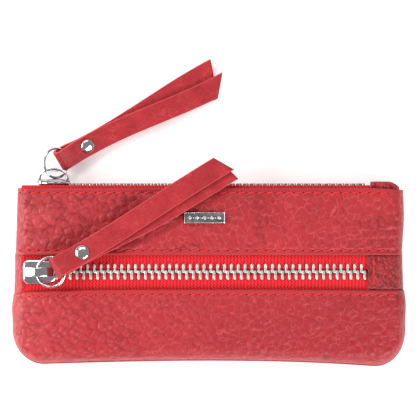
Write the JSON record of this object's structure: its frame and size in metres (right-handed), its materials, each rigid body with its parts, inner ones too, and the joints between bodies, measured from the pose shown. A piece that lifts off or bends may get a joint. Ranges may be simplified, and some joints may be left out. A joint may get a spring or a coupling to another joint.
{
  "type": "zippered pouch",
  "caption": "Small flat leather pouch with a zippered main pocket, a zippered front pocket and two leather zip pulls.",
  "frame": {"origin": "middle of the flat back face that the pouch lies on", "axes": "+X along the zippers towards their closed-to-open direction, +Y towards the top zipper, +Z out of the front"},
  "size_m": [0.1458, 0.1177, 0.0206],
  "materials": {
    "leather": "pebbled, satin",
    "strap_leather": "fine grain, satin",
    "lining": "matte",
    "zip_tape": "woven, matte",
    "zip_metal": "polished nickel",
    "chrome": "polished",
    "antique_silver": "antique, satin",
    "spring_steel": "satin"
  },
  "bodies": {
    "pouch": {"back_panel": "leather", "front_upper_panel": "leather", "front_lower_panel": "leather", "front_zip_end_tab_left": "leather", "front_zip_end_tab_right": "leather", "top_zip_end_tab": "leather", "name_plate": "antique_silver", "name_plate_backing": "spring_steel", "main_lining_back": "lining", "main_lining_front": "lining", "pocket_lining_back": "lining", "pocket_lining_front": "lining", "front_zip_tape_upper": "zip_tape", "front_zip_tape_lower": "zip_tape", "top_zip_tape_back": "zip_tape", "top_zip_tape_front": "zip_tape", "front_zip_teeth_upper": "zip_metal", "front_zip_top_stop_upper": "zip_metal", "front_zip_teeth_lower": "zip_metal", "front_zip_top_stop_lower": "zip_metal", "front_zip_bottom_stop": "zip_metal", "top_zip_teeth_back": "zip_metal", "top_zip_top_stop_back": "zip_metal", "top_zip_teeth_front": "zip_metal", "top_zip_top_stop_front": "zip_metal", "top_zip_bottom_stop": "zip_metal"},
    "front_slider": {"front_zip_slider_body": "chrome", "front_zip_slider_crown": "chrome", "front_zip_slider_lock_spring": "spring_steel"},
    "front_ring": {"front_zip_ring": "chrome"},
    "front_pull": {"front_zip_pull_strap": "strap_leather", "front_zip_pull_rivet_cap": "chrome", "front_zip_pull_rivet_post": "chrome"},
    "top_slider": {"top_zip_slider_body": "chrome", "top_zip_slider_crown": "chrome", "top_zip_slider_lock_spring": "spring_steel"},
    "top_ring": {"top_zip_ring": "chrome"},
    "top_pull": {"top_zip_pull_strap": "strap_leather", "top_zip_pull_rivet_cap": "chrome", "top_zip_pull_rivet_post": "chrome"}
  },
  "joints": [
    {"name": "front_slide", "type": "slide", "parent": "pouch", "child": "front_slider", "axis": [1, 0, 0], "range_m": [0, 0.115], "deforming": ["front_zip_teeth_upper", "front_zip_teeth_lower"]},
    {"name": "front_ring_lift", "type": "hinge", "parent": "front_slider", "child": "front_ring", "pos_m": [-0.0637, 0.0017, 0.01515], "axis": [0, -1, 0], "range_deg": [0, 100]},
    {"name": "front_pull_swing", "type": "hinge", "parent": "front_ring", "child": "front_pull", "pos_m": [-0.05454, 0.00418, 0.0176], "axis": [0.5102, -0.8491, 0.1367], "range_deg": [0, 60]},
    {"name": "top_slide", "type": "slide", "parent": "pouch", "child": "top_slider", "axis": [1, 0, 0], "range_m": [0, 0.111], "deforming": ["top_zip_teeth_back", "top_zip_teeth_front"]},
    {"name": "top_ring_lift", "type": "hinge", "parent": "top_slider", "child": "top_ring", "pos_m": [-0.057, 0.0366, 0.00675], "axis": [0.766, 0, -0.6428], "range_deg": [0, 30]},
    {"name": "top_pull_swing", "type": "hinge", "parent": "top_ring", "child": "top_pull", "pos_m": [-0.05413, 0.04492, 0.00434], "axis": [0.4611, -0.7986, -0.3869], "range_deg": [0, 30]}
  ]
}
